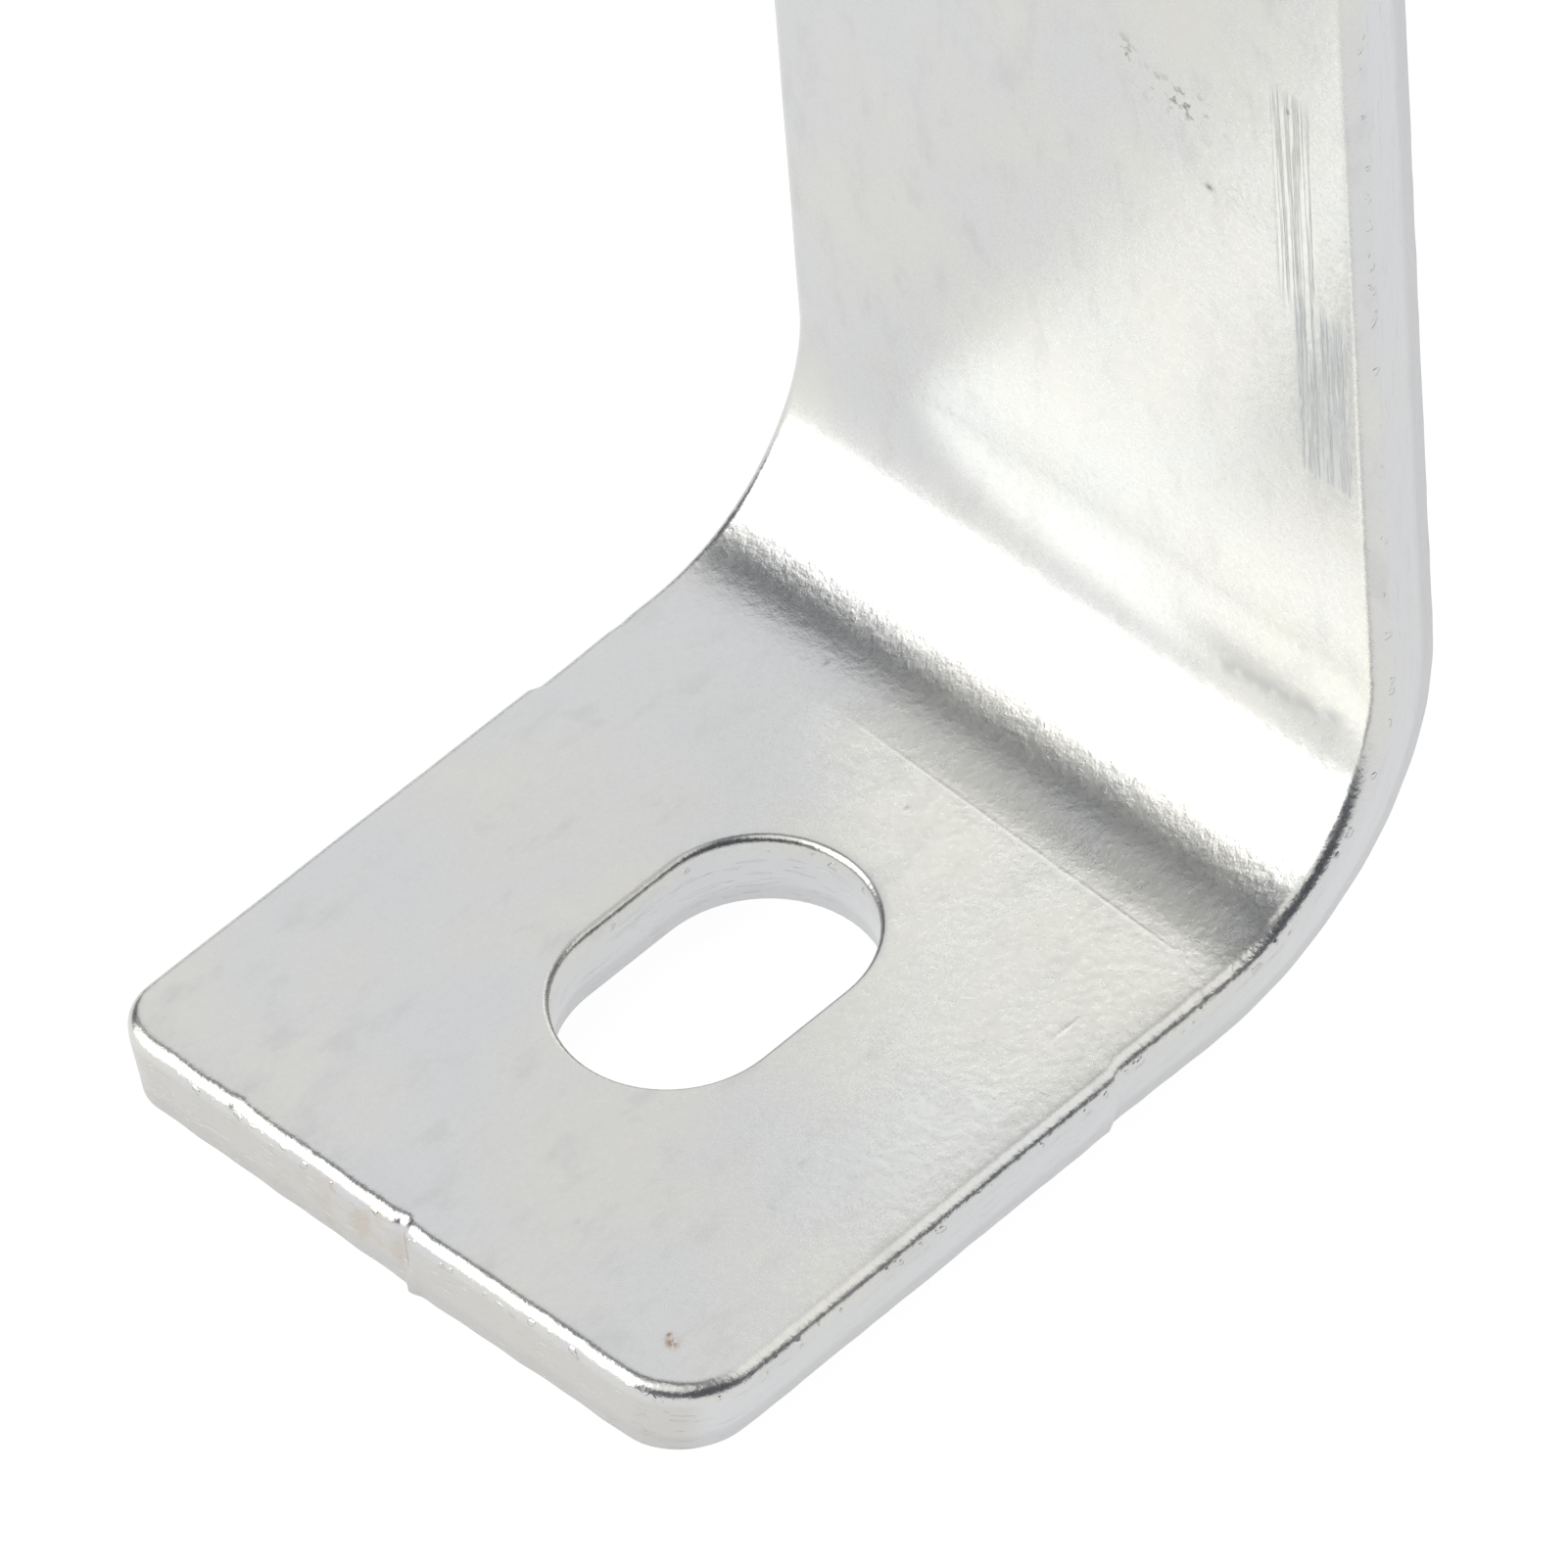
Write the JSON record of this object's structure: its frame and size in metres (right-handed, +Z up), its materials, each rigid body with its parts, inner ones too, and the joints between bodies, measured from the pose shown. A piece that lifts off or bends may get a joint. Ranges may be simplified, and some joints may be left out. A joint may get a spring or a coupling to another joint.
{
  "type": "u bracket",
  "caption": "U-shaped saddle bracket folded from flat zinc-plated steel strip, with an outward slotted foot at each end.",
  "frame": {"origin": "on the mounting plane under the feet, midway between the legs and at mid width of the strip", "axes": "+X along the span from foot to foot, +Y across the strip, +Z up out of the mounting plane"},
  "size_m": [0.1184, 0.0254, 0.055],
  "materials": {
    "zinc_plate": "bright zinc plate with rolled mill grain"
  },
  "bodies": {
    "root": {"bracket": "zinc_plate"}
  },
  "joints": []
}
